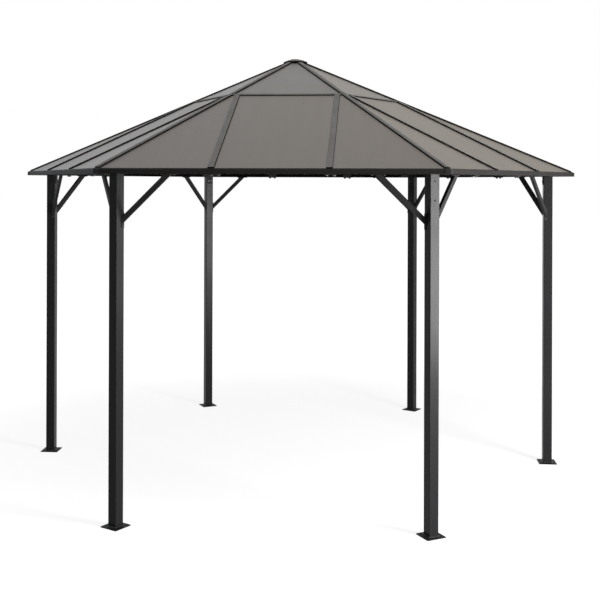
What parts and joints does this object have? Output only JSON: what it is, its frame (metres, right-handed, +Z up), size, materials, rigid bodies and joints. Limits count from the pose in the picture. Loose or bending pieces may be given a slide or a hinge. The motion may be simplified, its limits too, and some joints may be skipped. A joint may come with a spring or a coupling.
{
  "type": "hexagonal hardtop gazebo",
  "caption": "Open hexagonal garden gazebo: square tube posts on base plates, ring beams with knee braces, and a hipped roof of smoke-grey plastic sheets under metal battens.",
  "frame": {"origin": "on the ground, below the apex, at the middle of the post circle", "axes": "+Z up, +X towards the right-hand post, +Y towards the back"},
  "size_m": [4.205, 3.6416, 3.0395],
  "materials": {
    "post_coat": "charcoal satin powder coat",
    "plate_coat": "charcoal satin powder coat",
    "brace_coat": "charcoal satin powder coat",
    "beam_coat": "charcoal satin powder coat",
    "rafter_coat": "charcoal satin powder coat",
    "trim_coat": "charcoal satin powder coat",
    "batten_coat": "charcoal satin powder coat",
    "roof_sheet": "smoke grey twin-wall plastic sheet with fine flutes",
    "corner_plastic": "dark grey moulded"
  },
  "bodies": {
    "root": {"post_right": "post_coat", "base_plate_right": "plate_coat", "knee_braces_right": "brace_coat", "post_back_right": "post_coat", "base_plate_back_right": "plate_coat", "knee_braces_back_right": "brace_coat", "post_back_left": "post_coat", "base_plate_back_left": "plate_coat", "knee_braces_back_left": "brace_coat", "post_left": "post_coat", "base_plate_left": "plate_coat", "knee_braces_left": "brace_coat", "post_front_left": "post_coat", "base_plate_front_left": "plate_coat", "knee_braces_front_left": "brace_coat", "post_front_right": "post_coat", "base_plate_front_right": "plate_coat", "knee_braces_front_right": "brace_coat", "ring_beam_right_back": "beam_coat", "roof_sheets_right_back": "roof_sheet", "eave_trim_right_back": "trim_coat", "ring_beam_back": "beam_coat", "roof_sheets_back": "roof_sheet", "eave_trim_back": "trim_coat", "ring_beam_left_back": "beam_coat", "roof_sheets_left_back": "roof_sheet", "eave_trim_left_back": "trim_coat", "ring_beam_left_front": "beam_coat", "roof_sheets_left_front": "roof_sheet", "eave_trim_left_front": "trim_coat", "ring_beam_front": "beam_coat", "roof_sheets_front": "roof_sheet", "eave_trim_front": "trim_coat", "ring_beam_right_front": "beam_coat", "roof_sheets_right_front": "roof_sheet", "eave_trim_right_front": "trim_coat", "hip_rafters": "rafter_coat", "jack_rafters": "rafter_coat", "purlins": "rafter_coat", "rafter_saddles": "brace_coat", "head_brackets": "brace_coat", "hip_caps": "batten_coat", "seam_battens": "batten_coat", "joint_strips": "batten_coat", "eave_corner_caps": "corner_plastic", "apex_hub": "rafter_coat", "apex_cap": "batten_coat"}
  },
  "joints": []
}
